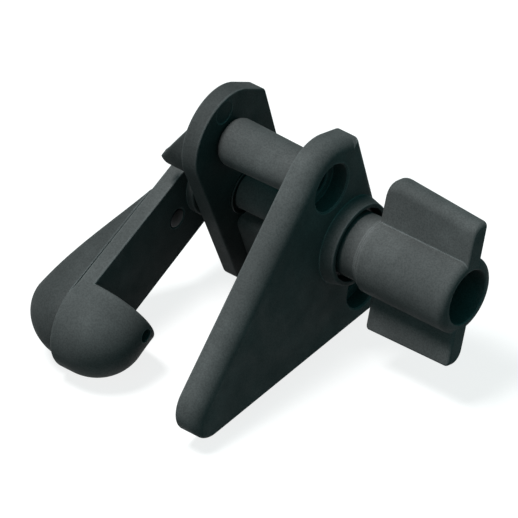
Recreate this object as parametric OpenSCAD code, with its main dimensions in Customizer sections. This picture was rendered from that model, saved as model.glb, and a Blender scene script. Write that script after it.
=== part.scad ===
// Moulded gate latch: two cheeks on spacers, a hook arm that swings on a clamp bolt, and a wing knob.
// X runs along the bolt axes towards the knob, Y runs to the back, Z is up.
// The origin is on the upper bolt axis, midway between the cheeks.

/* [Cheeks] */
// Clear space between the two cheeks
cheek_gap = 26.3; // [20:0.1:32]
// Thickness of the outer cheek, on the knob side
outer_t = 7; // [6:0.1:9]
// Thickness of the inner cheek, on the arm side
inner_t = 5; // [4:0.1:7]
// Radius of the round head about the upper bolt on the inner cheek
inner_head_r = 13.6; // [12.5:0.1:15]
// Radius of the round head about the upper bolt on the outer cheek
outer_head_r = 12.7; // [12:0.1:16]
// Distance from the upper bolt axis down to the base edges
base_drop = 50.4; // [48:0.1:60]
// Distance from the upper bolt axis back to the inner cheek's back edge
inner_back_reach = 15.4; // [14:0.1:17]
// Distance from the upper bolt axis back to the outer cheek's back edge
outer_back_reach = 12.3; // [11.5:0.1:14]
// Lean of both back edges from upright, in degrees
back_lean = 15.5; // [10:0.5:20]
// Distance from the upper bolt axis forward to the centre of the blade's tip
blade_reach = 47.8; // [40:0.1:60]
// Radius of the blade's tip
tip_r = 8.2; // [6:0.1:10]
// Rounding of the outer cheek's outer edge along its front
edge_round = 5; // [3:0.1:5.5]
// Radius of the outer cheek's upper back corner
crown_r = 5; // [4:0.1:7]
// Height of that corner's centre above the upper bolt axis
crown_rise = 6.4; // [4:0.1:8]
// Rounding of the outer cheek's edge at that corner
crown_round = 2.4; // [1:0.1:3.5]
// Radius of the outer cheek's lower back corner
heel_r = 3; // [2:0.1:6]
// Distance from the centre of the blade's tip back to where its base edge turns crisp
sole_start = 3.5; // [2:0.1:10]
// Rounding of the outer cheek's edge along its base
sole_round = 1; // [0.4:0.1:1.8]
// Small rounding of the outer cheek's inner edge
inner_round = 0.8; // [0.3:0.1:1.5]
// Lean of the inner cheek's front edge from upright, in degrees
front_lean = 20; // [16:0.5:26]
// Radius of the inner cheek's upper back corner
shoulder_r = 3; // [1.5:0.1:5]
// Height of that corner's centre above the upper bolt axis
shoulder_rise = 4.5; // [3:0.1:6]
// Radius of the inner cheek's front foot corner
foot_r = 2.5; // [1:0.1:4]

/* [Bolt axes] */
// Distance from the upper bolt axis to the pivot axis
pivot_pitch = 22.2; // [21:0.1:26]
// Distance from the pivot axis to the lower bolt axis
lower_pitch = 20.3; // [19.5:0.1:24]
// Lean of the row of axes from upright, in degrees
axis_lean = 18.5; // [12:0.5:22]
// Radius of the two mounting bolt holes
bolt_hole_r = 4.25; // [3.3:0.05:4.5]
// Radius of the recess for each mounting bolt's head
head_recess_r = 6.75; // [6:0.05:7]
// Depth of the recess for each mounting bolt's head
head_recess_depth = 5; // [3:0.1:5.4]

/* [Spacers] */
// Radius of the upper spacer tube at the inner cheek
tube_r = 7; // [6:0.05:7.5]
// Radius of the upper spacer tube at the outer cheek
tube_end_r = 6.4; // [5.9:0.05:6.8]
// Rounding of the tube's shoulder at the inner cheek
tube_round = 1.8; // [0.5:0.1:2.3]
// Length of the socket on the outer cheek that takes the tube
socket_l = 2.4; // [1.5:0.1:4]
// Radius of the tube's spigot inside that socket
spigot_r = 5.2; // [4.9:0.05:5.4]
// Width of the lower spacer block
block_w = 14.4; // [12:0.1:15]
// Space between the lower spacer block and the pivot sleeve
block_gap = 0.8; // [0.3:0.1:2]
// Rounding of the lower spacer block's corners
block_round = 2.2; // [1:0.1:3]
// Depth of the block below the lower bolt axis
block_depth = 8; // [6.5:0.1:9]

/* [Arm] */
// Angle of the arm below level at rest, in degrees
arm_drop = 21.4; // [10:0.1:30]
// Half the width of the arm's flat bar
arm_half_w = 11.8; // [10:0.1:13]
// Thickness of the arm's flat bar
arm_t = 4.8; // [4.5:0.1:7]
// Thickness of the hub disc on the arm
hub_disc_t = 2.2; // [1.5:0.1:4]
// Radius of the hub disc on the arm
hub_disc_r = 11.2; // [9:0.1:11.4]
// Distance from the pivot axis to the centre of the hook's round end
hook_reach = 53; // [50:0.5:60]
// Radius of the hook, which is shaped like a thumb
hook_r = 13.2; // [12:0.1:14]
// Straight length of the hook from the catch face to the centre of its round end
catch_inset = 6; // [4:0.1:10]
// Lean of the catch face across the arm, in degrees
catch_lean = 6; // [0:0.5:12]
// Height of the hook's centre line above the bar's inner face
hook_rise = 0.7; // [0:0.1:4]
// How far the bar's round end stays inside the hook's round side
paddle_step = 0.3; // [0.2:0.1:1]
// Radius of the grip's round end
grip_r = 14.4; // [12:0.1:16]
// Distance from the pivot axis to the centre of the grip's round end
grip_reach = 50.4; // [42:0.1:54]
// Height of the centre of the grip's round end above the bar's outer face
grip_lift = 0.3; // [0:0.1:3]
// Radius of the grip's small end
grip_small_r = 6.2; // [5:0.1:9]
// Distance from the pivot axis to the centre of the grip's small end
grip_start = 13.5; // [12:0.5:20]

/* [Stop lug] */
// How far the stop lug stands out from the inner cheek
lug_reach = 7.7; // [5:0.1:9]
// Thickness of the stop lug
lug_t = 3; // [2:0.1:5]
// Step from the inner cheek's rim down to the stop lug
lug_step = 0.4; // [0.2:0.1:1]
// Angle about the upper bolt axis where the lug's lower edge lies, in degrees
lug_low = 219; // [205:1:222]
// Angle about the upper bolt axis where the lug's upper edge meets the cheek, in degrees
lug_high = 141; // [130:1:160]

/* [Pivot] */
// Radius of the pivot sleeve
sleeve_r = 5.2; // [4.6:0.05:5.4]
// Radius of the clamp bolt
clamp_bolt_r = 3; // [2.5:0.05:3.2]
// Wall of the pivot bush
bush_wall = 1.5; // [1:0.1:2]
// Height of the pivot bush above the inner cheek's inner face
bush_proud = 0.5; // [0.2:0.1:1]
// Height of the boss on the inner cheek's outer face
boss_h = 3.1; // [2:0.1:5]
// Radius of that boss
boss_r = 10; // [8:0.1:11]
// Thickness of the friction washer between the boss and the arm
friction_t = 0.8; // [0.5:0.1:1.5]
// Depth of the socket in the outer cheek that carries the sleeve's end
sleeve_socket = 2; // [1:0.1:3]
// Width across the flats of the clamp bolt's hexagon head
head_flats = 10; // [8:0.1:11]
// Height of the clamp bolt's head
head_h = 4; // [3:0.1:5]
// Depth of the hexagon pocket in the arm
head_pocket = 2.6; // [2:0.1:3]

/* [Knob] */
// Radius of the collar on the outer cheek at its foot
collar_foot_r = 12.4; // [11.5:0.1:12.6]
// Radius of the collar at its rim
collar_rim_r = 11.5; // [10.8:0.1:12]
// Height of the collar
collar_h = 3.8; // [2.5:0.1:5]
// Radius inside the collar
collar_bore_r = 9.7; // [9:0.1:10.2]
// Thickness of the thrust washer in the collar
washer_t = 1.2; // [0.8:0.1:2]
// Radius of the knob's stem
stem_r = 8.9; // [7.5:0.1:9]
// Length of the knob's stem
stem_l = 8.6; // [7:0.1:12]
// Radius of the knob's hub
hub_r = 10.5; // [10.2:0.1:12]
// Rounding of the hub's rim at its open end
rim_round = 2.4; // [1:0.1:3]
// Length of the knob's hub
hub_l = 28.6; // [22:0.1:34]
// Radius of the hollow in the knob's open end
hollow_r = 7.6; // [6.5:0.1:8.2]
// Depth of the hollow in the knob's open end
hollow_depth = 20; // [12:0.1:20.5]
// Reach of each wing from the knob's axis at the stem end
wing_reach = 22.3; // [18:0.1:26]
// Reach of each wing from the knob's axis at the open end
wing_end_reach = 20.6; // [16:0.1:24]
// Thickness of each wing
wing_t = 5.6; // [4:0.1:7]
// Distance from the hub's shoulder to the start of each wing
wing_start = 0.3; // [0:0.1:6]
// Lean of the wings from upright, in degrees
wing_lean = 17; // [0:1:90]
// Radius of the threaded insert in the knob
insert_r = 5; // [4.5:0.1:6]
// Length of the threaded insert
insert_l = 12; // [8:0.1:14]

/* [Fasteners and clearances] */
// Radius of each cover screw's shank
screw_r = 1.2; // [0.9:0.1:1.5]
// Radius of each cover screw's head
screw_head_r = 2.6; // [2.1:0.1:3]
// Height of each cover screw's head
screw_head_h = 1.6; // [1:0.1:2]
// Distance from the pivot axis to the first cover screw
first_screw = 16; // [15:0.1:20]
// Distance from the pivot axis to the screw in the hook's nose
nose_screw = 49.1; // [47:0.1:51]
// Radius of that screw's head
nose_head_r = 1.7; // [1.5:0.1:2.4]
// How far each cover screw bites into the grip
screw_bite = 6; // [4:0.5:8]
// Radial clearance of a running fit
run_gap = 0.05; // [0.02:0.01:0.1]
// Clearance where a piece passes freely through a hole
free_gap = 0.2; // [0.1:0.05:0.4]

/* [Hidden] */

$fn = 96;
black = [0.10, 0.11, 0.11];
charcoal = [0.16, 0.17, 0.17];
jet = [0.03, 0.03, 0.03];
steel = [0.62, 0.63, 0.64];
brass_tone = [0.72, 0.58, 0.30];
// Overlap that makes a cut run clean through a face
over = 1;
// How far a straight edge dips inside the circles it runs on from, so that they cross cleanly
tuck = 0.02;

// Faces along X
outer_in = cheek_gap / 2;
outer_out = outer_in + outer_t;
inner_in = -cheek_gap / 2;
inner_out = inner_in - inner_t;
boss_face = inner_out - boss_h;
washer_face = boss_face - friction_t;
disc_face = washer_face - run_gap;
arm_in = disc_face - hub_disc_t;
arm_out = arm_in - arm_t;
stem_start = outer_out + washer_t;
hub_start = stem_start + stem_l;
hub_end = hub_start + hub_l;

// Axes in the Y and Z plane
axis_row = [sin(axis_lean), -cos(axis_lean)];
pivot = pivot_pitch * axis_row;
lower = (pivot_pitch + lower_pitch) * axis_row;

// Each back edge is the line where dot(back_normal, point) is that cheek's back reach
back_normal = [cos(back_lean), sin(back_lean)];
function back_at(z, reach) = (reach - z * back_normal[1]) / back_normal[0];
front_normal = [-cos(front_lean), -sin(front_lean)];
function front_at(z, inset) = (inner_head_r - inset - z * front_normal[1]) / front_normal[0];

bush_r = sleeve_r + run_gap + bush_wall;
bolt_bore_r = clamp_bolt_r + run_gap;
washer_r = collar_bore_r - free_gap;
screw_depth = arm_out - screw_bite;
hook_centre = arm_in + hook_rise;
paddle_r = hook_r - paddle_step;
thumb_l = catch_inset + hook_r * tan(catch_lean) + over;
nose_hole_r = nose_head_r + free_gap;
cover_places = [[first_screw, screw_head_r], [nose_screw, nose_head_r]];

// Sweep a flat outline in Y and Z along X
module along_x(from, to)
    translate([from, 0, 0])
    rotate([90, 0, 90])
    linear_extrude(to - from)
    children();

// Round bar along X at a point in the Y and Z plane
module bar_x(at, from, to, r, r_end = undef)
    translate([from, at[0], at[1]])
    rotate([0, 90, 0])
    cylinder(h = to - from, r1 = r, r2 = is_undef(r_end) ? r : r_end);

// Put children in the arm's own frame: local Y runs out along the arm, local Z runs down across it
module arm_frame()
    translate([0, pivot[0], pivot[1]])
    rotate([180 + arm_drop, 0, 0])
    children();

// Half of a plate's section, turned about X into a disc with a rounded outer and inner edge
module rounded_disc(at, r, outer_edge)
    translate([outer_in, at[0], at[1]])
    rotate([0, 90, 0])
    rotate_extrude($fn = 56)
    difference() {
        square([r, outer_t]);
        translate([r - outer_edge, outer_t - outer_edge])
            difference() {
                square(outer_edge + over);
                circle(outer_edge, $fn = 40);
            }
        translate([r - inner_round, 0])
            mirror([0, 1])
            translate([0, -inner_round])
            difference() {
                square(inner_round + over);
                circle(inner_round, $fn = 24);
            }
    }

// Flat rectangle with round corners, centred on its own origin
module round_corners(w, h, r)
    union() {
        square([w - 2 * r, h], center = true);
        square([w, h - 2 * r], center = true);
        for (side = [-1, 1], end = [-1, 1])
            translate([side * (w / 2 - r), end * (h / 2 - r)])
            circle(r);
    }

// Hole for a mounting bolt through everything on one axis
module bolt_hole(at)
    bar_x(at, arm_out, outer_out + over, bolt_hole_r);

// Centres of the outer cheek's corners
crown = [back_at(crown_rise, outer_back_reach - crown_r), crown_rise];
heel = [back_at(heel_r - base_drop, outer_back_reach - heel_r), heel_r - base_drop];
blade_tip = [-blade_reach, tip_r - base_drop];
sole = [sole_start - blade_reach, heel_r - base_drop];

module outer_cheek() color(black)
    difference() {
        union() {
            hull() {
                rounded_disc([0, 0], outer_head_r, edge_round);
                rounded_disc(crown, crown_r, crown_round);
                rounded_disc(heel, heel_r, sole_round);
                rounded_disc(sole, heel_r, sole_round);
                rounded_disc(blade_tip, tip_r, edge_round);
            }
            bar_x(pivot, outer_out - over, outer_out + collar_h, collar_foot_r, collar_rim_r);
            bar_x([0, 0], outer_in - socket_l, outer_in + over, tube_end_r + free_gap);
        }
        for (at = [[0, 0], lower]) {
            bolt_hole(at);
            bar_x(at, outer_out - head_recess_depth, outer_out + over, head_recess_r);
        }
        bar_x([0, 0], outer_in - socket_l - over, outer_in, spigot_r + run_gap);
        bar_x(pivot, outer_out, outer_out + collar_h + over, collar_bore_r);
        bar_x(pivot, outer_in - over, outer_in + sleeve_socket, sleeve_r + run_gap);
        bar_x(pivot, outer_in, outer_out + over, clamp_bolt_r + free_gap);
    }

// Outline of the inner cheek: a round head, a shoulder, straight edges, and a foot on the base line
module inner_outline() {
    foot = [front_at(foot_r - base_drop, foot_r), foot_r - base_drop];
    shoulder = [back_at(shoulder_rise, inner_back_reach - shoulder_r), shoulder_rise];
    slope = atan2(shoulder[1], shoulder[0]) + acos((inner_head_r - shoulder_r) / norm(shoulder));
    slope_normal = [cos(slope), sin(slope)];
    circle(inner_head_r);
    polygon([
        [0, 0],
        (inner_head_r - tuck) * front_normal,
        foot + (foot_r - tuck) * front_normal,
        foot,
        [foot[0], -base_drop],
        [back_at(-base_drop, inner_back_reach), -base_drop],
        shoulder + (shoulder_r - tuck) * back_normal,
        shoulder,
        shoulder + (shoulder_r - tuck) * slope_normal,
        (inner_head_r - tuck) * slope_normal
    ]);
    translate(foot)
        circle(foot_r);
    translate(shoulder)
        circle(shoulder_r);
}

// The lug is a curved strip just inside the head's rim, cut so that it tapers away upwards
module stop_lug() {
    lug_r = inner_head_r - lug_step;
    sweep = lug_low - lug_high;
    low = lug_r * [cos(lug_low), sin(lug_low)];
    high = lug_r * [cos(lug_high), sin(lug_high)];
    rise = (high[1] - lug_step - low[1] - lug_t) / lug_reach;
    intersection() {
        translate([inner_out - lug_reach, 0, 0])
            rotate([90, 0, 90])
            rotate([0, 0, lug_high])
            rotate_extrude(angle = sweep)
            translate([lug_r - lug_t, 0])
            square([lug_t, lug_reach + inner_t / 2]);
        rotate([90, 0, 0])
            linear_extrude(4 * inner_head_r, center = true)
            polygon([
                [inner_out - lug_reach, low[1]],
                [inner_out - lug_reach, low[1] + lug_t],
                [inner_out + inner_t / 2, low[1] + lug_t + rise * (lug_reach + inner_t / 2)],
                [inner_out + inner_t / 2, low[1] - lug_t],
                [inner_out - lug_reach, low[1] - lug_t]
            ]);
    }
}

module inner_cheek() color(charcoal)
    difference() {
        union() {
            along_x(inner_out, inner_in)
                inner_outline();
            bar_x(pivot, boss_face, inner_out + over, boss_r);
            stop_lug();
        }
        bolt_hole([0, 0]);
        bolt_hole(lower);
        bar_x(pivot, boss_face - over, inner_in + over, bush_r);
    }

// Half section of the tube: a round shoulder, then a slow taper to the socket
module tube_section()
    union() {
        translate([0, tube_round])
            polygon([
                [0, 0],
                [tube_r, 0],
                [tube_end_r, cheek_gap - socket_l - tube_round],
                [0, cheek_gap - socket_l - tube_round]
            ]);
        square([tube_r - tube_round, 2 * tube_round]);
        intersection() {
            translate([tube_r - tube_round, tube_round])
                circle(tube_round);
            square([tube_r, tube_round]);
        }
    }

module upper_spacer_tube() color(black)
    difference() {
        union() {
            translate([inner_in, 0, 0])
                rotate([0, 90, 0])
                rotate_extrude()
                tube_section();
            bar_x([0, 0], inner_in, outer_in, spigot_r);
        }
        bolt_hole([0, 0]);
    }

// The block fills the row of axes from just below the sleeve to below the lower bolt, and clears the bush
module lower_spacer_block() color(charcoal) {
    top = lower_pitch - sleeve_r - block_gap;
    difference() {
        along_x(inner_in, outer_in)
            translate(lower)
            rotate(axis_lean)
            translate([0, (top - block_depth) / 2])
            round_corners(block_w, top + block_depth, block_round);
        bolt_hole(lower);
        bar_x(pivot, inner_in - over, inner_in + bush_proud + free_gap, bush_r + free_gap);
    }
}

module pivot_bush() color(jet)
    difference() {
        bar_x(pivot, boss_face, inner_in + bush_proud, bush_r);
        bar_x(pivot, boss_face - over, inner_in + bush_proud + over, sleeve_r + run_gap);
    }

module friction_washer() color(jet)
    difference() {
        bar_x(pivot, washer_face, boss_face, boss_r);
        bar_x(pivot, washer_face - over, boss_face + over, sleeve_r + free_gap);
    }

// Half section of the hook: straight from behind its catch face, then a round end
module thumb_section()
    intersection() {
        union() {
            square([hook_r, thumb_l]);
            translate([0, thumb_l])
                circle(hook_r);
        }
        square([hook_r, thumb_l + hook_r]);
    }

// Outline of the bar and the grip: a round end at the pivot, straight sides, and a wider round end
module bar_outline() {
    lean = asin((paddle_r - arm_half_w) / hook_reach);
    circle(arm_half_w);
    translate([hook_reach, 0])
        circle(paddle_r);
    for (side = [0, 1])
        mirror([0, side])
        polygon([
            [0, 0],
            (arm_half_w - tuck) * [-sin(lean), cos(lean)],
            [hook_reach, 0] + (paddle_r - tuck) * [-sin(lean), cos(lean)],
            [hook_reach, 0]
        ]);
}

// A flat bar with a round end at the pivot and a thumb-shaped hook at its other end, to catch a striker
module hook_arm() color(black)
    difference() {
        arm_frame() {
            along_x(arm_out, arm_in)
                bar_outline();
            bar_x([0, 0], arm_in - over, disc_face, hub_disc_r);
            difference() {
                translate([hook_centre, hook_reach - thumb_l, 0])
                    rotate([-90, 0, 0])
                    rotate_extrude()
                    thumb_section();
                translate([arm_out - 2 * hook_r, 0, -2 * hook_r])
                    cube([2 * hook_r, 2 * hook_reach, 4 * hook_r]);
                translate([arm_out - over, hook_reach - catch_inset, 0])
                    rotate([catch_lean, 0, 0])
                    translate([0, -hook_reach, -2 * hook_r])
                    cube([4 * hook_r, hook_reach, 4 * hook_r]);
            }
        }
        bar_x(pivot, arm_in, disc_face + over, sleeve_r);
        bar_x(pivot, arm_out - over, arm_in + over, clamp_bolt_r);
        hex_head(head_pocket + over, arm_out - over);
        arm_frame() {
            cover_screw(first_screw, screw_head_r, over);
            cover_screw(nose_screw, nose_hole_r, hook_rise + hook_r + over);
        }
    }

// The bolt's hexagon, with a flat across the arm
module hex_head(h, from)
    arm_frame()
    translate([from, 0, 0])
    rotate([0, 90, 0])
    cylinder(h = h, r = head_flats / sqrt(3), $fn = 6);

// A screw along X whose head seats flush with the bar; clear lengthens the head's hole outwards
module cover_screw(reach, head_r, clear = 0) {
    bar_x([reach, 0], arm_in - screw_head_h, arm_in + clear, head_r);
    bar_x([reach, 0], screw_depth, arm_in - screw_head_h / 2, screw_r);
}

// Section of the grip, from its small end to its round end, about its own long axis
module grip_section(length) {
    lean = asin((grip_r - grip_small_r) / length);
    intersection() {
        union() {
            circle(grip_small_r);
            translate([0, length])
                circle(grip_r);
            polygon([
                [0, 0],
                (grip_small_r - tuck) * [cos(lean), -sin(lean)],
                [0, length] + (grip_r - tuck) * [cos(lean), -sin(lean)],
                [0, length]
            ]);
        }
        translate([0, -grip_small_r])
            square([grip_r, length + grip_small_r + grip_r]);
    }
}

// A teardrop shell on the bar's outer face
module grip_cover() color(charcoal) {
    run = grip_reach - grip_start;
    length = sqrt(run * run + grip_lift * grip_lift);
    difference() {
        arm_frame()
            translate([arm_out, grip_start, 0])
            rotate([0, 0, -atan(grip_lift / run)])
            rotate([-90, 0, 0])
            rotate_extrude()
            grip_section(length);
        arm_frame()
            translate([arm_out, grip_start - 2 * grip_r, -2 * grip_r])
            cube([4 * grip_r, grip_reach + 4 * grip_r, 4 * grip_r]);
        arm_frame()
            along_x(arm_out - 2 * grip_r, arm_out + over)
            difference() {
                translate([-2 * grip_r, -2 * grip_r])
                    square([grip_reach + 6 * grip_r, 4 * grip_r]);
                bar_outline();
            }
        arm_frame()
            for (place = cover_places)
                cover_screw(place[0], place[1]);
    }
}

module cover_screws() color(steel)
    arm_frame()
    for (place = cover_places)
        cover_screw(place[0], place[1]);

module pivot_sleeve() color(black)
    difference() {
        bar_x(pivot, arm_in, outer_in + sleeve_socket - free_gap, sleeve_r);
        bar_x(pivot, arm_in - over, outer_in + sleeve_socket + over, bolt_bore_r);
    }

module clamp_bolt() color(steel)
    union() {
        hex_head(head_h, arm_out + head_pocket - head_h);
        bar_x(pivot, arm_out + head_pocket - over, hub_end - hollow_depth + over, clamp_bolt_r);
    }

module thrust_washer() color(steel)
    difference() {
        bar_x(pivot, outer_out, stem_start, washer_r);
        bar_x(pivot, outer_out - over, stem_start + over, clamp_bolt_r + free_gap);
    }

// One wing: a rounded blade that reaches less at the open end than at the stem end
module wing() {
    r = wing_t / 2;
    corners = [[hub_start + wing_start + r, wing_reach - r], [hub_end - r, wing_end_reach - r]];
    hull()
        for (corner = corners, root = [0, 1])
            translate([corner[0], 0, root * corner[1]])
            sphere(r, $fn = 28);
}

// The hub's half section, with a round rim at its open end
module hub_section()
    union() {
        square([hub_r, hub_l - rim_round]);
        square([hub_r - rim_round, hub_l]);
        translate([hub_r - rim_round, hub_l - rim_round])
            circle(rim_round);
    }

module wing_knob() color(black)
    difference() {
        union() {
            bar_x(pivot, stem_start, hub_start + over, stem_r);
            translate([hub_start, pivot[0], pivot[1]])
                rotate([0, 90, 0])
                rotate_extrude()
                hub_section();
            for (side = [0, 180])
                translate([0, pivot[0], pivot[1]])
                rotate([side - wing_lean, 0, 0])
                wing();
        }
        bar_x(pivot, stem_start - over, stem_start + insert_l, insert_r);
        bar_x(pivot, stem_start, hub_end, clamp_bolt_r + free_gap);
        bar_x(pivot, hub_end - hollow_depth, hub_end + over, hollow_r);
    }

module knob_insert() color(brass_tone)
    difference() {
        bar_x(pivot, stem_start, stem_start + insert_l, insert_r);
        bar_x(pivot, stem_start - over, stem_start + insert_l + over, bolt_bore_r);
    }

outer_cheek();
inner_cheek();
upper_spacer_tube();
lower_spacer_block();
pivot_bush();
friction_washer();
hook_arm();
grip_cover();
cover_screws();
pivot_sleeve();
clamp_bolt();
thrust_washer();
wing_knob();
knob_insert();
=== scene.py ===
import bpy
import bmesh
import numpy as np
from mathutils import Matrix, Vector


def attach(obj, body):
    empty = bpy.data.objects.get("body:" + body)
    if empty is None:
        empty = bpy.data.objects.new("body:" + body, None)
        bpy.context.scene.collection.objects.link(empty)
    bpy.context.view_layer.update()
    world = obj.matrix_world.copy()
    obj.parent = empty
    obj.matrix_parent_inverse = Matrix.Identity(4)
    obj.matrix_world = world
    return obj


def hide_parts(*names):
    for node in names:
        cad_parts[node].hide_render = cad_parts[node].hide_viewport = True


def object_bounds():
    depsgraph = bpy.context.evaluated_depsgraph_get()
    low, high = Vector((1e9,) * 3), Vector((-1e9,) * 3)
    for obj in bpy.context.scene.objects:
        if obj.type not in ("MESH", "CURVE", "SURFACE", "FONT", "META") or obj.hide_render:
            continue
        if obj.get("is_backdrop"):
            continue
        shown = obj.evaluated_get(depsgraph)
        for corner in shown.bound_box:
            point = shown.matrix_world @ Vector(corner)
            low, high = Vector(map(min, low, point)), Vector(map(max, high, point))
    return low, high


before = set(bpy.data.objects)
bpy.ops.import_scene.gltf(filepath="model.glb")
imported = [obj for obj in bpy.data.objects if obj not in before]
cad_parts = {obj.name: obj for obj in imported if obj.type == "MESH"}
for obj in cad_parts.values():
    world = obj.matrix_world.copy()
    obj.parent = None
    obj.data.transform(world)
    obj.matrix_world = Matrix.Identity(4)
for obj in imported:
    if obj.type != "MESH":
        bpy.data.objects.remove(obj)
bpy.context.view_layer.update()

# Sizes in millimetres, in the frame of the solids: X runs along the bolts towards the knob
MM = 0.001
OUTER_IN, OUTER_OUT = 13.15, 20.15
INNER_IN, INNER_OUT = -13.15, -18.15
BOSS_FACE, WASHER_FACE, DISC_FACE = -21.25, -22.05, -22.10
ARM_IN, ARM_OUT = -24.30, -29.10
STEM_START, HUB_START, HUB_END = 21.35, 29.95, 58.55
UPPER = np.array([0.0, 0.0])
PIVOT = np.array([7.0442, -21.0528])
LOWER = np.array([13.4854, -40.3038])
BASE = -50.4
BOLT_R, RECESS_R, RECESS_DEPTH = 4.25, 6.75, 5.0
# Radii on the pivot's axis, from the bolt outwards
SHANK_R, SLEEVE_BORE, SHANK_HOLE, SLEEVE_R, PIVOT_BORE = 3.0, 3.05, 3.2, 5.2, 5.25
INSERT_R, BUSH_R, HOLLOW_R, STEM_R, WASHER_R = 5.0, 6.75, 7.6, 8.9, 9.5
BOSS_R, HUB_R, DISC_R, ARM_HALF = 10.0, 10.5, 11.2, 11.8
INSERT_LENGTH, HOLLOW_DEPTH = 12, 20
ARM_OUTWARD = np.array([-0.93106, -0.36488])
ARM_ACROSS = np.array([0.36488, -0.93106])
BACK = np.array([np.cos(np.radians(15.5)), np.sin(np.radians(15.5))])
FRONT = -np.array([np.cos(np.radians(20.0)), np.sin(np.radians(20.0))])
HOOK_X, HOOK_R, HOOK_NOSE, HOOK_REACH, CATCH = -23.6, 13.2, 13.7, 53.0, 46.1
PART_X, BAR_END = -28.65, 12.4
FIRST_SCREW, NOSE_SCREW, SCREW_R = 16.0, 49.1, 1.2
HEAD_FLATS, CREASE = 10.0, 0.45
# How far a cutter passes the face that it breaks
PAST = 0.6
# Points closer than this many metres are one
WELD = 2e-6


# Surfaces

def rounded(corners, radii, steps=6):
    """Closed line through the corners, where corner i becomes an arc of radius radii[i] that touches
    both of its sides: the arc's centre lies on the bisector at radius / sin(half the corner's angle),
    and its points turn evenly from one touching point to the other."""
    corners = np.asarray(corners, float)
    radii = np.asarray(radii, float)[:, None]
    back = np.roll(corners, 1, 0) - corners
    ahead = np.roll(corners, -1, 0) - corners
    back /= np.linalg.norm(back, axis=1, keepdims=True)
    ahead /= np.linalg.norm(ahead, axis=1, keepdims=True)
    half = np.arccos(np.clip((back * ahead).sum(1, keepdims=True), -0.9999, 0.9999)) / 2
    bisector = back + ahead
    bisector /= np.maximum(np.linalg.norm(bisector, axis=1, keepdims=True), 1e-9)
    centre = corners + bisector * radii / np.sin(half)
    first = corners + back * radii / np.tan(half) - centre
    last = corners + ahead * radii / np.tan(half) - centre
    swing = (np.pi - 2 * half)[:, None]
    t = np.linspace(0, 1, steps + 1)[None, :, None]
    arc = (np.sin((1 - t) * swing) * first[:, None] + np.sin(t * swing) * last[:, None]) / np.sin(swing)
    return (centre[:, None] + arc).reshape(-1, 2)


def quads(rows, cols, wrap_rows, wrap_cols):
    """Corner numbers of a grid's faces, for points numbered row by row. A wrapped side joins its
    last line to its first."""
    i = np.arange(rows if wrap_rows else rows - 1)[:, None]
    j = np.arange(cols if wrap_cols else cols - 1)[None, :]
    i2, j2 = (i + 1) % rows, (j + 1) % cols
    return np.stack([i * cols + j, i * cols + j2, i2 * cols + j2, i2 * cols + j], -1).reshape(-1, 4)


def surface(name, grid, wrap_rows=False, wrap_cols=True, caps=()):
    """A closed mesh from a grid of points in millimetres, with flat caps given as rings of point
    numbers. Points that meet are joined, which closes seams and poles, and faces turn outwards."""
    rows, cols = grid.shape[:2]
    faces = quads(rows, cols, wrap_rows, wrap_cols).tolist() + [list(map(int, ring)) for ring in caps]
    mesh = bpy.data.meshes.new(name)
    mesh.from_pydata((grid.reshape(-1, 3) * MM).tolist(), [], faces)
    work = bmesh.new()
    work.from_mesh(mesh)
    bmesh.ops.remove_doubles(work, verts=work.verts, dist=WELD)
    bmesh.ops.dissolve_degenerate(work, edges=work.edges, dist=1e-7)
    bmesh.ops.recalc_face_normals(work, faces=work.faces)
    work.to_mesh(mesh)
    work.free()
    piece = bpy.data.objects.new(name, mesh)
    bpy.context.scene.collection.objects.link(piece)
    return piece


def turned(name, profile, at, turns=128, ring=True):
    """A profile of (X, radius) points turned about the line through at along X: the point at angle a
    is (X, Y + radius sin a, Z + radius cos a). A ring's profile is a closed loop; the profile of a
    full body starts and ends on the axis."""
    profile = np.asarray(profile, float)
    a = np.linspace(0, 2 * np.pi, turns, endpoint=False)[None, :]
    x, r = profile[:, :1], profile[:, 1:]
    grid = np.stack([x + 0 * a, at[0] + r * np.sin(a), at[1] + r * np.cos(a)], -1)
    return surface(name, grid, wrap_rows=ring)


def plate_grid(discs, low, high, low_edge, high_edge, turns=360, steps=8):
    """Points of a plate whose outline is the common hull of round discs (two places and a radius
    each). At turning angle a the disc that reaches furthest owns the outline, and the point lies on
    its rim in direction a. Ring k pulls the rim in by a quarter circle of the edge radius there. An
    edge radius is a number, one number for each disc, or a function of the outward direction."""
    discs = np.asarray(discs, float)
    centres, radii = discs[:, :2], discs[:, 2]
    a = np.linspace(0, 2 * np.pi, turns, endpoint=False)
    out = np.stack([np.cos(a), np.sin(a)], -1)
    owner = np.argmax(out @ centres.T + radii, 1)
    low_r, high_r = [edge(out) if callable(edge)
                     else np.broadcast_to(np.asarray(edge, float), radii.shape)[owner]
                     for edge in (low_edge, high_edge)]
    q = np.linspace(0, np.pi / 2, steps + 1)[:, None]
    inset = np.concatenate([low_r * (1 - np.sin(q)), high_r * (1 - np.sin(q[::-1]))])
    level = np.concatenate([low + low_r * (1 - np.cos(q)), high - high_r * (1 - np.cos(q[::-1]))])
    flat = centres[owner] + (radii[owner] - inset)[..., None] * out
    return np.concatenate([level[..., None], flat], -1)


def plate(name, discs, low, high, low_edge, high_edge, place=None, **fineness):
    """A closed plate from plate_grid, with flat caps on its two faces. place turns the plate's own
    (X, first, second) points into the frame's points."""
    grid = plate_grid(discs, low, high, low_edge, high_edge, **fineness)
    if place is not None:
        grid = place(grid)
    rows, cols = grid.shape[:2]
    last = (rows - 1) * cols + np.arange(cols)
    return surface(name, grid, caps=[np.arange(cols), last])


def drawn_in(gap, edge):
    """How far a rounded rim has drawn in at a distance gap from its face: a quarter circle."""
    short = edge - np.clip(gap, 0, edge)
    return edge - np.sqrt(np.maximum(edge ** 2 - short ** 2, 0))


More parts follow.
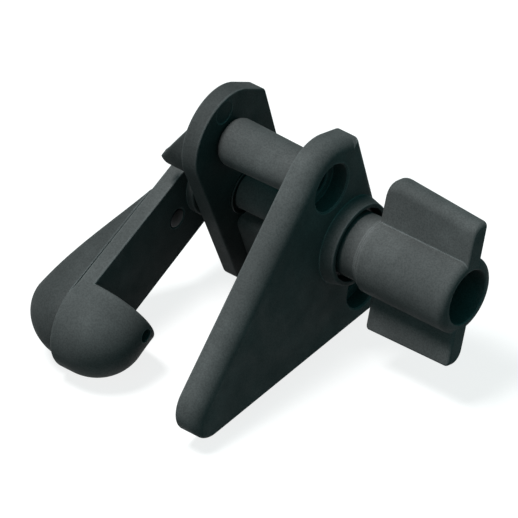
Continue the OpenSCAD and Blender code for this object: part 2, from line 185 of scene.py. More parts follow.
def on_arm(points):
    """Arm points (X, distance out along the arm, distance down across it) put into the frame."""
    spot = PIVOT + points[..., 1:2] * ARM_OUTWARD + points[..., 2:3] * ARM_ACROSS
    return np.concatenate([points[..., :1], spot], -1)


def carved(piece, joined=(), cut=()):
    """The piece with closed bodies joined to it and others cut from it, as one closed mesh."""
    for bodies, how in ((joined, "UNION"), (cut, "DIFFERENCE")):
        for body in bodies:
            step = piece.modifiers.new(how, "BOOLEAN")
            step.operation, step.solver, step.object = how, "EXACT", body
    graph = bpy.context.evaluated_depsgraph_get()
    mesh = bpy.data.meshes.new_from_object(piece.evaluated_get(graph))
    piece.modifiers.clear()
    piece.data = mesh
    for body in (*joined, *cut):
        bpy.data.objects.remove(body)
    work = bmesh.new()
    work.from_mesh(mesh)
    bmesh.ops.remove_doubles(work, verts=work.verts, dist=WELD)
    bmesh.ops.dissolve_degenerate(work, edges=work.edges, dist=1e-6)
    work.to_mesh(mesh)
    work.free()
    return piece


def hole(at, r, start, stop, start_flare=0.0, stop_flare=0.0):
    """A turned cutter along X from start to stop, flared by a chamfer where it breaks each face."""
    wide_start, wide_stop = [r + flare + (PAST if flare else 0) for flare in (start_flare, stop_flare)]
    line = [(start - PAST, 0), (start - PAST, wide_start), (start + start_flare, r),
            (stop - stop_flare, r), (stop + PAST, wide_stop), (stop + PAST, 0)]
    return turned("cutter", line, at, turns=96, ring=False)


# Finishes

def linear(code):
    """An sRGB hex colour as linear values and full alpha: c / 12.92 below 0.04045, else
    ((c + 0.055) / 1.055) ** 2.4."""
    c = np.array([int(code[i:i + 2], 16) for i in (1, 3, 5)]) / 255
    return (*np.where(c <= 0.04045, c / 12.92, ((c + 0.055) / 1.055) ** 2.4), 1.0)


def add(tree, kind, links=None, **settings):
    """Adds one node. settings are its properties, or its sockets where the name starts with in_;
    links join its inputs to other nodes' outputs."""
    node = tree.nodes.new(kind)
    for key, value in settings.items():
        if key.startswith("in_"):
            socket = key[3:]
            node.inputs[int(socket) if socket.isdigit() else socket].default_value = value
        else:
            setattr(node, key, value)
    for socket, source in (links or {}).items():
        tree.links.new(source, node.inputs[socket])
    return node


def ramp(tree, source, stops):
    """Adds a colour ramp over the source, with stops of (place, hex colour)."""
    node = add(tree, "ShaderNodeValToRGB", {"Fac": source})
    while len(node.color_ramp.elements) < len(stops):
        node.color_ramp.elements.new(0.5)
    for element, (place, code) in zip(node.color_ramp.elements, stops):
        element.position, element.color = place, linear(code)
    return node


def noise(tree, place, size, detail, roughness=0.5):
    """Adds noise whose lumps are about size metres across, and gives its value."""
    node = add(tree, "ShaderNodeTexNoise", {"Vector": place}, in_Scale=1 / size, in_Detail=detail,
               in_Roughness=roughness)
    return node.outputs["Fac"]


def finish(name):
    """A new material: itself, its node tree, its shader and the piece's own coordinates."""
    material = bpy.data.materials.new(name)
    material.use_nodes = True
    tree = material.node_tree
    place = add(tree, "ShaderNodeTexCoord").outputs["Object"]
    return material, tree, tree.nodes["Principled BSDF"], place


def moulded(name, dark, mid, pale, roughness, specular):
    """Glass-filled nylon, injection moulded in a spark-eroded steel tool. To the eye it is a dull black
    with a fine even grain, slow cloudy drifts where the melt cooled, and greyer edges: partly wear where
    hands and the gate rub it, partly a painted highlight along the edges. The acetal of the bush and the
    washer has the same make-up, darker and smoother; its near-black is partly painted shade for the gaps that they
    sit in."""
    material, tree, shader, place = finish(name)
    shader.inputs["IOR"].default_value = 1.53
    shader.inputs["Specular IOR Level"].default_value = specular
    # Drifts about 18 mm across
    drift = noise(tree, place, 0.018, 4.0, 0.6)
    # Spark-erosion grain of about 0.35 mm, drawn at 0.45 mm so that it shows at this size
    grain = noise(tree, place, 0.00045, 2.0, 0.6)
    # Patches about 6 mm across, which break up the worn edges and their painted highlight, and vary the roughness
    rub_and_highlight_patches = noise(tree, place, 0.006, 5.0, 0.65)
    colour = ramp(tree, drift, [(0.3, dark), (0.5, mid), (0.72, pale)])
    pepper = ramp(tree, grain, [(0.35, "#dfdfdf"), (0.62, "#ffffff")])
    speckled = add(tree, "ShaderNodeMix", {6: colour.outputs[0], 7: pepper.outputs[0]}, data_type="RGBA",
                   blend_type="MULTIPLY", in_0=1.0)
    # An edge is where the surface turns within 0.7 mm
    eased = add(tree, "ShaderNodeBevel", in_Radius=0.0007, samples=4)
    plain = add(tree, "ShaderNodeNewGeometry").outputs["Normal"]
    bend = add(tree, "ShaderNodeVectorMath", {0: eased.outputs[0], 1: plain}, operation="DOT_PRODUCT")
    edge = add(tree, "ShaderNodeMapRange", {"Value": bend.outputs[1]}, in_1=0.99, in_2=0.86)
    # Edges inside the patches turn pale grey: partly wear, partly a painted highlight that shows whatever the
    # light
    wear_and_edge_highlight = add(tree, "ShaderNodeMath", {0: edge.outputs[0], 1: rub_and_highlight_patches}, operation="MULTIPLY")
    mixed = add(tree, "ShaderNodeMix", {"Factor": wear_and_edge_highlight.outputs[0], 6: speckled.outputs[2]},
                data_type="RGBA")
    # Pale grey of the worn edges and of the painted edge highlight
    mixed.inputs[7].default_value = linear("#8c9091")
    tree.links.new(mixed.outputs[2], shader.inputs["Base Color"])
    sheen = add(tree, "ShaderNodeMapRange", {"Value": rub_and_highlight_patches}, in_1=0.3, in_2=0.75,
                in_3=roughness - 0.06, in_4=roughness + 0.09)
    tree.links.new(sheen.outputs[0], shader.inputs["Roughness"])
    bump = add(tree, "ShaderNodeBump", {"Height": grain}, in_Strength=0.2, in_Distance=0.00008)
    tree.links.new(bump.outputs[0], shader.inputs["Normal"])
    return material


def metal(name, colour, rubbed, roughness, grit):
    """Machined or stamped metal: fine turning marks one grit apart, and paler where it is rubbed."""
    material, tree, shader, place = finish(name)
    shader.inputs["Metallic"].default_value = 1.0
    # Rubbed patches about 4 mm across
    tone = ramp(tree, noise(tree, place, 0.004, 4.0), [(0.35, colour), (0.7, rubbed)])
    tree.links.new(tone.outputs[0], shader.inputs["Base Color"])
    stretch = add(tree, "ShaderNodeMapping", {"Vector": place}, in_Scale=(1.0, 0.15, 0.15))
    marks = noise(tree, stretch.outputs[0], grit, 2.0)
    rough = add(tree, "ShaderNodeMapRange", {"Value": marks}, in_1=0.3, in_2=0.7,
                in_3=roughness - 0.06, in_4=roughness + 0.1)
    tree.links.new(rough.outputs[0], shader.inputs["Roughness"])
    bump = add(tree, "ShaderNodeBump", {"Height": marks}, in_Strength=0.2, in_Distance=0.00002)
    tree.links.new(bump.outputs[0], shader.inputs["Normal"])
    return material


nylon_black = moulded("nylon_moulded_black", "#4a4b4b", "#505151", "#5e5f5f", 0.66, 0.06)
# The black nylon made darker, for the inner cheek, the lower block and the grip cover: the extra darkness is
# painted shade, set to darken the grip cover
nylon_painted_shade = moulded("nylon_moulded_painted_shade", "#3e3f3f", "#434444", "#4f5050", 0.68, 0.06)
# Near-black: the acetal's own black, made darker still as painted shade for the narrow gaps round the pivot
acetal_jet_gap_shade = moulded("acetal_turned_jet_gap_shade", "#0a0b0b", "#0e0f0f", "#161717", 0.45, 0.15)
steel_black = metal("steel_black_oxide", "#202224", "#3a3c3e", 0.42, 0.0002)
steel_zinc = metal("steel_zinc_plated", "#a8abae", "#c4c6c8", 0.34, 0.0002)
brass = metal("brass_turned", "#a8823c", "#c39a4e", 0.33, 0.00025)


def hand_in(piece, body, node, coat, crease=34.0):
    """Smooth shading with crisp creases, flat faces kept flat by area-weighted normals, then the
    piece's finish, its body, and the node that it stands for."""
    mesh = piece.data
    mesh.polygons.foreach_set("use_smooth", np.ones(len(mesh.polygons), bool))
    mesh.set_sharp_from_angle(angle=np.radians(crease))
    flat = piece.modifiers.new("flat_faces", "WEIGHTED_NORMAL")
    flat.mode, flat.weight, flat.keep_sharp = "FACE_AREA", 80, True
    mesh.materials.clear()
    mesh.materials.append(coat)
    piece.name = mesh.name = node + ("_moulding" if "nylon" in coat.name else "_finish")
    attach(piece, body)
    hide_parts(node)
    return piece


# Outer cheek

def back_point(z, reach, r):
    """Centre of a disc of radius r at height z whose rim touches the back edge's line."""
    return ((reach - r - z * BACK[1]) / BACK[0], z)


# Discs of the outline as (Y, Z, radius): head, back corner, heel, and the blade's tip, low and high
OUTER_BACK, OUTER_HEAD, OUTER_CORNER, HEEL, TIP, TIP_Y = 13.8, 12.7, 3.2, 3.0, 8.2, -47.8
OUTER_DISCS = [(0, 0, OUTER_HEAD), (*back_point(7.0, OUTER_BACK, OUTER_CORNER), OUTER_CORNER),
               (*back_point(HEEL + BASE, OUTER_BACK, HEEL), HEEL), (TIP_Y + 3.5, HEEL + BASE, HEEL),
               (TIP_Y, TIP + BASE, TIP)]
COLLAR_TOP, COLLAR_BORE = OUTER_OUT + 3.8, 10.3
SOCKET_FACE, SOCKET_R, SOCKET_BORE = OUTER_IN - 2.4, 6.45, 5.25


def front_edge(out):
    """Edge radius of the outer cheek by direction: 5 mm facing up and forwards, about 1.9 mm along the
    back and 1 mm along the base, where the share is the cosine to each direction, raised to a power."""
    front = np.clip(out @ [-0.70, 0.714], 0, 1) ** 0.8
    back = np.clip(out @ BACK, 0, 1) ** 2
    return 1.0 + 4.0 * front + 0.9 * back


def recess(at):
    """Cutter for a bolt-head recess and the bolt's hole behind it, with a broken edge at the face."""
    seat, through = OUTER_OUT - RECESS_DEPTH, OUTER_IN - 4.0
    line = [(OUTER_OUT + PAST, 0), (OUTER_OUT + PAST, RECESS_R + 1.0), (OUTER_OUT - 0.4, RECESS_R),
            (seat, RECESS_R), (seat, BOLT_R + 0.3), (seat - 0.3, BOLT_R), (through, BOLT_R), (through, 0)]
    return turned("cutter", line, at, turns=128, ring=False)


cheek = plate("outer", OUTER_DISCS, OUTER_IN, OUTER_OUT, 0.5, front_edge, steps=12)
collar = turned("collar", rounded([(OUTER_OUT - 0.5, 12.5), (COLLAR_TOP, 11.5), (COLLAR_TOP, COLLAR_BORE),
                                   (OUTER_OUT - 0.5, COLLAR_BORE)], [0, 0.4, 0.3, 0]), PIVOT, turns=160)
socket = turned("socket", rounded([(OUTER_IN + 0.5, SOCKET_R), (SOCKET_FACE, SOCKET_R), (SOCKET_FACE, SOCKET_BORE),
                                   (OUTER_IN + 0.5, SOCKET_BORE)], [0, 0.35, 0.15, 0]), UPPER)
carved(cheek, joined=[collar, socket],
       cut=[recess(UPPER), recess(LOWER), hole(PIVOT, SHANK_HOLE, OUTER_IN, OUTER_OUT, 0.2, 0.3),
            hole(PIVOT, PIVOT_BORE, OUTER_IN - 1, OUTER_IN + 1.4)])
hand_in(cheek, "frame", "outer_cheek", nylon_black)

# Inner cheek

# Discs of the outline: head, shoulder at the back, heel, and the foot of the tail's front edge
INNER_BACK, INNER_FRONT, INNER_HEAD, SHOULDER, SHARP, FOOT = 16.2, 13.3, 13.9, 3.0, 0.5, 4.6
FOOT_Y = (INNER_FRONT - FOOT - (FOOT + BASE) * FRONT[1]) / FRONT[0]
INNER_DISCS = [(0, 0, INNER_HEAD), (*back_point(5.2, INNER_BACK, SHOULDER), SHOULDER),
               (*back_point(SHARP + BASE, INNER_BACK, SHARP), SHARP), (FOOT_Y, FOOT + BASE, FOOT)]


def stop_lug():
    """A curved strip just inside the head's rim. Along angle a its section is a rectangle from inside
    the cheek to a tip at X, where X falls back towards the cheek in step with the strip's height; the
    tip's corners are rounded, and its low end draws in on a quarter circle."""
    r_out, thick, reach, edge = 12.9, 3.0, 8.4, 0.7
    high, low = np.radians(141.0), np.radians(219.0)
    curl = 0.07
    a = np.concatenate([np.linspace(high, low - curl, 44),
                        low - curl * (1 - np.sin(np.linspace(0.1, np.pi / 2, 8)))])
    left = np.maximum((low - a) * r_out, 0)
    draw = np.where(left < edge, edge - np.sqrt(np.maximum(edge ** 2 - (edge - left) ** 2, 0)), 0)
    z = r_out * np.sin(a)
    rise = (r_out * np.sin(high) - 0.4 - r_out * np.sin(low) - thick) / reach
    tip = INNER_OUT - reach + np.clip((z - r_out * np.sin(low) - thick) / rise, 0, reach + 1.5) + draw
    loop = rounded([(0, 0), (0, 1), (1, 1), (1, 0)], [0, 0, 0.16, 0.16])
    x = INNER_OUT + 2.0 + loop[None, :, 0] * (tip - INNER_OUT - 2.0)[:, None]
    r = r_out - thick + draw[:, None] + loop[None, :, 1] * (thick - 2 * draw)[:, None]
    grid = np.stack([x, r * np.cos(a)[:, None], r * np.sin(a)[:, None]], -1)
    rows, cols = grid.shape[:2]
    return surface("lug", grid, caps=[np.arange(cols), (rows - 1) * cols + np.arange(cols)])


inner = plate("inner", INNER_DISCS, INNER_OUT, INNER_IN, 0.5, 0.45, steps=5)
boss = turned("boss", rounded([(INNER_OUT + 1, 0), (INNER_OUT + 1, BOSS_R), (BOSS_FACE, BOSS_R), (BOSS_FACE, 0)],
                              [0, 0, 0.5, 0]), PIVOT, ring=False)
# The round mark that the mould's ejector pin left
ejector = hole((-2.1, 9.8), 3.3, INNER_IN + 0.42, INNER_IN + 0.6)
carved(inner, joined=[boss, stop_lug()],
       cut=[hole(UPPER, BOLT_R, INNER_OUT, INNER_IN, 0.3, 0.3),
            hole(LOWER, BOLT_R, INNER_OUT, INNER_IN, 0.3, 0.3),
            hole(PIVOT, BUSH_R, BOSS_FACE, INNER_IN, 0.2, 0.15), ejector])
hand_in(inner, "frame", "inner_cheek", nylon_painted_shade)

# Spacers between the cheeks


def spacer_tube():
    """A turned tube with a round shoulder and a slow taper; its outside swells by 0.05 mm on a narrow
    bell curve round one angle and the one opposite, which is the mould's parting line."""
    wide, slim, spigot = 6.7, 6.2, 5.2
    profile = rounded([(INNER_IN, BOLT_R), (INNER_IN, wide), (SOCKET_FACE, slim), (SOCKET_FACE, spigot),
                       (OUTER_IN, spigot), (OUTER_IN, BOLT_R)], [0.2, 2.6, 0.25, 0, 0.2, 0.2], steps=10)
    a = np.linspace(0, 2 * np.pi, 480, endpoint=False)[None, :]
    x, r = profile[:, :1], profile[:, 1:]
    seam = np.radians(-28.0)
    off = np.angle(np.exp(2j * (a - seam))) / 2
    bell = np.exp(-(off / 0.016) ** 2)
    r = r + 0.05 * bell * (r > slim - 0.1)
    grid = np.stack([x + 0 * a, r * np.sin(a), r * np.cos(a)], -1)
    return surface("tube", grid, wrap_rows=True)


hand_in(spacer_tube(), "frame", "upper_spacer_tube", nylon_black)

BLOCK_UP = (PIVOT - LOWER) / np.linalg.norm(PIVOT - LOWER)
BLOCK_SIDE = np.array([BLOCK_UP[1], -BLOCK_UP[0]])
BLOCK_TOP, BLOCK_FOOT, BLOCK_HALF, BLOCK_CORNER = 15.0, 8, 5.0, 2.2
BLOCK_DISCS = [(*(LOWER + u * BLOCK_UP + v * BLOCK_SIDE), BLOCK_CORNER)
               for u in (BLOCK_TOP - BLOCK_CORNER, BLOCK_CORNER - BLOCK_FOOT) for v in (-BLOCK_HALF, BLOCK_HALF)]
block = plate("block", BLOCK_DISCS, INNER_IN, OUTER_IN, 0.9, 0.4, steps=8)
carved(block, cut=[hole(LOWER, BOLT_R, INNER_IN, OUTER_IN, 0.3, 0.3),
                   hole(PIVOT, BUSH_R + 0.25, INNER_IN, INNER_IN + 0.2)])
hand_in(block, "frame", "lower_spacer_block", nylon_painted_shade)

# Bush, washers and sleeve on the pivot


def ring(node, inner_r, outer_r, start, stop, edge):
    """A turned ring with all four edges rounded."""
    return turned(node, rounded([(start, inner_r), (start, outer_r), (stop, outer_r), (stop, inner_r)],
                                [edge] * 4), PIVOT)


# The bush and the friction washer take the near-black acetal, which paints the shade of the gaps that they sit in
hand_in(ring("pivot_bush", PIVOT_BORE, BUSH_R, BOSS_FACE, INNER_IN + 0.5, 0.2),
        "frame", "pivot_bush", acetal_jet_gap_shade)
hand_in(ring("friction_washer", PIVOT_BORE, BOSS_R, WASHER_FACE, BOSS_FACE, 0.15),
        "frame", "friction_washer", acetal_jet_gap_shade)
hand_in(ring("pivot_sleeve", SLEEVE_BORE, SLEEVE_R, ARM_IN, OUTER_IN + 1.8, 0.3),
        "arm", "pivot_sleeve", nylon_black)
hand_in(ring("thrust_washer", SHANK_HOLE, WASHER_R, OUTER_OUT, STEM_START, 0.2),
        "washer", "thrust_washer", steel_black)

# Hook arm

CATCH_SLOPE = np.tan(np.radians(6.0))
HEAD_SEAT = ARM_OUT + 2.6


def hook_thumb():
    """The thumb-shaped hook. A quarter ellipse from the nose line (angle 0) to its side, and a straight
    skirt from there to the parting face, are carried along a U: out along one side, round the end, and
    back along the other. The point is spine + side sin(angle) across + nose cos(angle) along X. At the
    start both radii grow on a quarter circle, which rounds the rim of the catch face; the side starts
    as wide as the bar, and at the parting face the skirt draws in."""
    edge = 0.9
    angle = np.concatenate([np.linspace(0, np.pi / 2, 52), np.full(14, np.pi / 2)])[None, :]
    skirt = np.concatenate([np.zeros(52), np.sin(np.linspace(0, np.pi / 2, 15))[1:]])[None, :]
    q = np.linspace(0, np.pi / 2, 7)
    run = np.linspace(0, 1, 16)[1:]
    turn = np.linspace(-np.pi / 2, np.pi / 2, 90)[1:-1, None]
    push = np.concatenate([edge * (1 - np.cos(q)), edge + 0 * run])[:, None]
    less = np.concatenate([edge * (1 - np.sin(q)), 0 * run])[:, None]
    along = np.concatenate([0 * q, run])[:, None]

    def skirted(side, nose, crease):
        x = HOOK_X + nose * np.cos(angle) + skirt * (PART_X - HOOK_X)
        return x, side * np.sin(angle) - np.where(skirt > 0, drawn_in(x - PART_X, crease), 0)

    def flank(sign):
        side = HOOK_R - less - (HOOK_R - BAR_END) * np.cos(along * np.pi / 2)
        x, w = skirted(side, HOOK_NOSE - less, CREASE)
        start = CATCH - sign * w * CATCH_SLOPE + push
        return np.stack([x, start + along * (HOOK_REACH - start), sign * w], -1)

    x, out = skirted(HOOK_R + 0 * turn, HOOK_NOSE, CREASE + 0.6 * np.cos(turn))
    end = np.stack([x + 0 * turn, HOOK_REACH + out * np.cos(turn), out * np.sin(turn)], -1)
    grid = on_arm(np.concatenate([flank(-1), end, flank(1)[::-1]]))
    rows, cols = grid.shape[:2]
    under = np.arange(rows) * cols + cols - 1
    face = np.concatenate([np.arange(cols)[::-1], (rows - 1) * cols + np.arange(1, cols)])
    return surface("thumb", grid, wrap_cols=False, caps=[under, face])


def arm_hole(reach, r, start, stop, flare=0.0):
    """A hole cutter along X at a distance out along the arm."""
    return hole(PIVOT + reach * ARM_OUTWARD, r, start, stop, 0.0, flare)


def hexagon(flats, start, stop, chamfer):
    """A hexagon prism along X whose edges at the start are turned off: at each level the radius is the
    smaller of the hexagon's, flats / 2 / cos(angle from the middle of a flat), and a cone's."""
    a = np.linspace(0, 2 * np.pi, 180, endpoint=False)[None, :]
    hexa = flats / 2 / np.cos((a + np.pi / 6) % (np.pi / 3) - np.pi / 6)
    level = np.array([0, 0.3, 0.6, 1.0])[:, None] * chamfer
    x = np.concatenate([start + level, stop - level[::-1] * 0.2])
    cone = np.concatenate([flats / 2 - 0.25 + level * 1.9, np.inf + 0 * level])
    r = np.minimum(hexa, cone)
    spot = PIVOT + (r * np.cos(a))[..., None] * ARM_OUTWARD + (r * np.sin(a))[..., None] * ARM_ACROSS
    grid = np.concatenate([(x + 0 * a)[..., None], spot], -1)
    rows, cols = grid.shape[:2]
    return surface("hexagon", grid, caps=[np.arange(cols), (rows - 1) * cols + np.arange(cols)])


bar = plate("bar", [(0, 0, ARM_HALF), (HOOK_REACH, 0, BAR_END)], PART_X, ARM_IN, 0.4, 0.4, place=on_arm,
            steps=5)
hub_disc = turned("hub_disc", rounded([(ARM_IN - 1, 0), (ARM_IN - 1, DISC_R), (DISC_FACE, DISC_R), (DISC_FACE, 0)],
                                      [0, 0, 0.5, 0]), PIVOT, ring=False)
carved(bar, joined=[hub_disc, hook_thumb()],
       cut=[hole(PIVOT, SLEEVE_R, ARM_IN + PAST, DISC_FACE, 0.0, 0.2), hole(PIVOT, SHANK_R, ARM_OUT, ARM_IN),
            hexagon(HEAD_FLATS, ARM_OUT - 1, HEAD_SEAT, 0.01),
            arm_hole(FIRST_SCREW, 2.75, ARM_IN - 1.0, ARM_IN, 0.25),
            arm_hole(NOSE_SCREW, 1.9, ARM_IN + PAST, HOOK_X + HOOK_NOSE + 1)])
hand_in(bar, "arm", "hook_arm", nylon_black)

# Grip cover


def grip_cover():
    """The half shell on the outside of the bar. Its rim follows the bar's edge and its end is round. Its
    depth starts at 0.25 mm and grows by 15.2 mm * g / (1 + g ** 8) ** (1 / 8), with g = 1.05 * share
    ** 0.64, which climbs in an almost straight line and levels off. A quarter ellipse from the deepest
    line (angle 0) to the rim is carried along a U as the hook's arc is, and close to the parting face
    it draws in, which leaves a crease along the bar."""
    start, end, deepest = 16.6, 51.9, 15.2
    angle = np.concatenate([np.linspace(0, 1.4, 54), np.linspace(1.4, np.pi / 2, 14)[1:]])[None, :]
    share = np.linspace(0, 1, 56)[:, None] ** 1.6
    turn = np.linspace(-np.pi / 2, np.pi / 2, 80)[1:-1, None]
    s = start + (end - start) * share
    g = 1.05 * share ** 0.64
    deep = 0.25 + deepest * g / (1 + g ** 8) ** 0.125
    half = ARM_HALF + (BAR_END - ARM_HALF) * s / HOOK_REACH

    def rimmed(deep, half, crease):
        depth = deep * np.cos(angle)
        return PART_X - depth, half * np.sin(angle) - drawn_in(depth, crease)

    def flank(sign):
        x, w = rimmed(deep, half, CREASE)
        return np.stack([x, s + 0 * angle, sign * w], -1)

    x, out = rimmed(deep[-1], half[-1], CREASE + 0.8 * np.cos(turn))
    round_end = np.stack([x + 0 * turn, end + out * np.cos(turn), out * np.sin(turn)], -1)
    grid = on_arm(np.concatenate([flank(-1), round_end, flank(1)[::-1]]))
    rows, cols = grid.shape[:2]
    rim = np.arange(rows) * cols + cols - 1
    blunt = np.concatenate([np.arange(cols)[::-1], (rows - 1) * cols + np.arange(1, cols)])
    return surface("grip", grid, wrap_cols=False, caps=[rim, blunt])


grip = grip_cover()
carved(grip, cut=[arm_hole(NOSE_SCREW, SCREW_R, ARM_OUT - 5.4, ARM_OUT + 1)])
# The grip cover takes the darker nylon, which paints shade on it
hand_in(grip, "arm", "grip_cover", nylon_painted_shade)

# Screws and clamp bolt


def cover_screw(reach, head_r, bite):
    """A turned screw: a slightly domed flush head, then a shank. bite is how far the shank passes the
    bar's outer face, and is below zero where it stops short of that face."""
    neck, tip = ARM_IN - 1.6, ARM_OUT - bite
    line = rounded([(ARM_IN, 0), (ARM_IN - 0.05, head_r), (neck, head_r), (neck, SCREW_R),
                    (tip, SCREW_R), (tip, 0)], [0, 0.25, 0.1, 0.1, 0.2, 0])
    return turned("screw", line, PIVOT + reach * ARM_OUTWARD, turns=72, ring=False)


# The grip is too shallow over the first screw to take it, so that one ends inside the bar
screws = carved(cover_screw(FIRST_SCREW, 2.6, -0.5), joined=[cover_screw(NOSE_SCREW, 1.7, 6.0)])
hand_in(screws, "arm", "cover_screws", steel_black)


def bolt_shank():
    """A turned shank whose last 8 mm carry a thread: the radius falls by a triangle wave of one
    turn per millimetre of X, and tapers off at the tip."""
    start, stop, pitch, depth, threaded, tip = ARM_OUT + 1.6, HUB_END - 19.0, 1.0, 0.55, 8, 0.7
    x = np.concatenate([[start, start], np.linspace(start + 0.01, stop - threaded, 12),
                        np.linspace(stop - threaded, stop, 81)[1:]])
    a = np.linspace(0, 2 * np.pi, 72, endpoint=False)[None, :]
    phase = (x[:, None] / pitch - a / (2 * np.pi)) % 1
    cutting = np.clip((x[:, None] - stop + threaded) / 0.6, 0, 1)
    radius = SHANK_R - depth * cutting * np.abs(2 * phase - 1)
    radius = np.minimum(radius, SHANK_R - tip * np.clip((x[:, None] - stop + tip) / tip, 0, 1))
    radius[0] = 0.0
    grid = np.stack([x[:, None] + 0 * a, PIVOT[0] + radius * np.sin(a),
                     PIVOT[1] + radius * np.cos(a)], -1)
    rows, cols = grid.shape[:2]
    return surface("shank", grid, caps=[(rows - 1) * cols + np.arange(cols)])


bolt = carved(bolt_shank(), joined=[hexagon(HEAD_FLATS, ARM_OUT - 1.4, HEAD_SEAT, 1.4)])
hand_in(bolt, "arm", "clamp_bolt", steel_zinc, crease=28.0)

# Wing knob


def wing(turn, first, corner, reach_first, reach_last):
    """A blade in the plane of the axis and one radial direction. Its section across X is a slab with one
    soft and one crisp outer edge; the slab's reach falls in a straight line from first to last, and both
    its reach and its thickness draw in on quarter circles at the two ends."""
    a = np.radians(turn)
    radial, across = np.array([np.sin(a), np.cos(a)]), np.array([np.cos(a), -np.sin(a)])
    last, root, thick, tall, edge = HUB_END, 8.6, 2.8, 10, 1.4
    loop = rounded([(-thick, 0), (-thick, tall), (thick * 0.9, tall), (thick, 0)], [0, 3.1, 0.8, 0], steps=12)
    q = np.linspace(0, np.pi / 2, 13)
    x = np.concatenate([first + corner * (1 - np.cos(q)), np.linspace(first + corner, last - edge, 12)[1:-1],
                        last - edge * (1 - np.cos(q[::-1]))])[:, None]
    reach = (reach_first + (reach_last - reach_first) * (x - first) / (last - first)
             - drawn_in(x - first, corner) - drawn_in(last - x, edge))
    slim = 1 - (drawn_in(x - first, min(corner, 1.8)) + drawn_in(last - x, 0.8)) / thick
    r = np.where(loop[:, 1] > tall / 2, reach - tall + loop[:, 1], root + (reach - root) * loop[:, 1] / tall)
    spot = PIVOT + r[..., None] * radial + (slim * loop[:, 0])[..., None] * across
    grid = np.concatenate([(x + 0 * r)[..., None], spot], -1)
    rows, cols = grid.shape[:2]
    return surface("wing", grid, caps=[np.arange(cols), (rows - 1) * cols + np.arange(cols)])


# The stem widens to the hub in three small steps, given as (X, radius after the step)
STEPS = [(HUB_START - 1.4, 9.35), (HUB_START - 0.6, 9.8), (HUB_START + 0.3, HUB_R)]
INSERT_END, HOLLOW_FLOOR = STEM_START + INSERT_LENGTH, HUB_END - HOLLOW_DEPTH
hub = turned("hub", rounded(
    [(STEM_START, INSERT_R), (STEM_START, STEM_R), (STEPS[0][0], STEM_R), STEPS[0], (STEPS[1][0], STEPS[0][1]),
     STEPS[1], (STEPS[2][0], STEPS[1][1]), STEPS[2], (HUB_END, HUB_R), (HUB_END, HOLLOW_R),
     (HOLLOW_FLOOR, HOLLOW_R), (HOLLOW_FLOOR, SHANK_HOLE), (INSERT_END, SHANK_HOLE), (INSERT_END, INSERT_R)],
    [0.2, 0.5, 0.15, 0.2, 0.15, 0.2, 0.15, 0.5, 2.2, 0.4, 0.6, 0.2, 0, 0], steps=8), PIVOT, turns=192)
carved(hub, joined=[wing(17.0, HUB_START - 0.5, 4.6, 23.0, 20.9),
                    wing(197.0, HUB_START + 1.8, 1.2, 20.1, 19.7)])
hand_in(hub, "knob", "wing_knob", nylon_black)

# It starts a hair later than the stem, so that it doesn't rub on the washer
hand_in(ring("knob_insert", SLEEVE_BORE, INSERT_R, STEM_START + 0.05, INSERT_END, 0.2),
        "knob", "knob_insert", brass)

# Floor, light and camera

# The camera looks at AIM from the direction TOWARDS, at the scale that was found for the photo
TOWARDS = Vector((0.48060, -0.61072, 0.62932))
AIM = Vector((12.475, -20.439, -13.972)) * MM
DISTANCE, SENSOR, PIXELS, MM_PER_PIXEL = 2.4, 36.0, 518, 0.255
FLOOR_HALF, FLOOR_GAP = 4.0, 0.0002


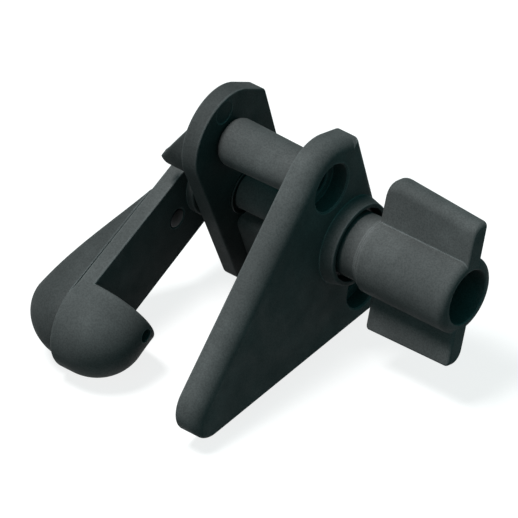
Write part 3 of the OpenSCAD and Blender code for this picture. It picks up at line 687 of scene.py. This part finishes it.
def pale_floor():
    """A flat sheet just under the lowest point. The camera and mirror-like rays see it as white, shaded
    only where the part keeps light off it; other rays meet a mid grey, so it throws little light back up."""
    level = min(corner[2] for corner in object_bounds()) - FLOOR_GAP
    sides = [-FLOOR_HALF, FLOOR_HALF]
    grid = np.stack(np.meshgrid(sides, sides, [level], indexing="ij"), -1).reshape(2, 2, 3) / MM
    floor = surface("floor", grid, wrap_cols=False)
    material = bpy.data.materials.new("floor_white_card")
    material.use_nodes = True
    tree = material.node_tree
    tree.nodes.clear()
    path = add(tree, "ShaderNodeLightPath")
    seen = add(tree, "ShaderNodeMath", {0: path.outputs["Is Camera Ray"], 1: path.outputs["Is Glossy Ray"]},
               operation="MAXIMUM")
    seen = add(tree, "ShaderNodeMath", {0: seen.outputs[0], 1: path.outputs["Is Transmission Ray"]},
               operation="MAXIMUM")
    card = add(tree, "ShaderNodeBsdfDiffuse", in_Color=linear("#8a8a8a"))
    grey = add(tree, "ShaderNodeBsdfDiffuse", in_Color=linear("#343838"))
    both = add(tree, "ShaderNodeMixShader", {0: seen.outputs[0], 1: grey.outputs[0], 2: card.outputs[0]})
    glow = add(tree, "ShaderNodeEmission", {"Strength": seen.outputs[0]}, in_Color=linear("#eaeaea"))
    total = add(tree, "ShaderNodeAddShader", {0: both.outputs[0], 1: glow.outputs[0]})
    add(tree, "ShaderNodeOutputMaterial", {"Surface": total.outputs[0]})
    floor.data.materials.append(material)
    floor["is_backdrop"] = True


pale_floor()


def soft_box(name, place, size, power):
    """A square area light that faces the part."""
    lamp = bpy.data.lights.new(name, "AREA")
    lamp.size, lamp.energy = size, power
    holder = bpy.data.objects.new(name, lamp)
    holder.location = Vector(place)
    holder.rotation_euler = (AIM - Vector(place)).to_track_quat("-Z", "Y").to_euler()
    bpy.context.scene.collection.objects.link(holder)


soft_box("key_soft_box", (-0.26, -0.4, 1.34), 0.4, 24.5)
soft_box("front_soft_box", (0.02, -1.3, 0.45), 0.5, 1.4)

world = bpy.data.worlds.new("studio")
world.use_nodes = True
background = world.node_tree.nodes["Background"]
background.inputs["Color"].default_value = linear("#3f9292")
background.inputs["Strength"].default_value = 0.7
bpy.context.scene.world = world

lens = bpy.data.cameras.new("photo_camera")
lens.sensor_width, lens.lens = SENSOR, DISTANCE / (MM_PER_PIXEL * MM) * SENSOR / PIXELS
lens.clip_end = 20.0
camera = bpy.data.objects.new("photo_camera", lens)
camera.location = AIM + DISTANCE * TOWARDS
camera.rotation_euler = (-TOWARDS).to_track_quat("-Z", "Y").to_euler()
bpy.context.scene.collection.objects.link(camera)
bpy.context.scene.camera = camera
bpy.context.scene.view_settings.view_transform = "Standard"
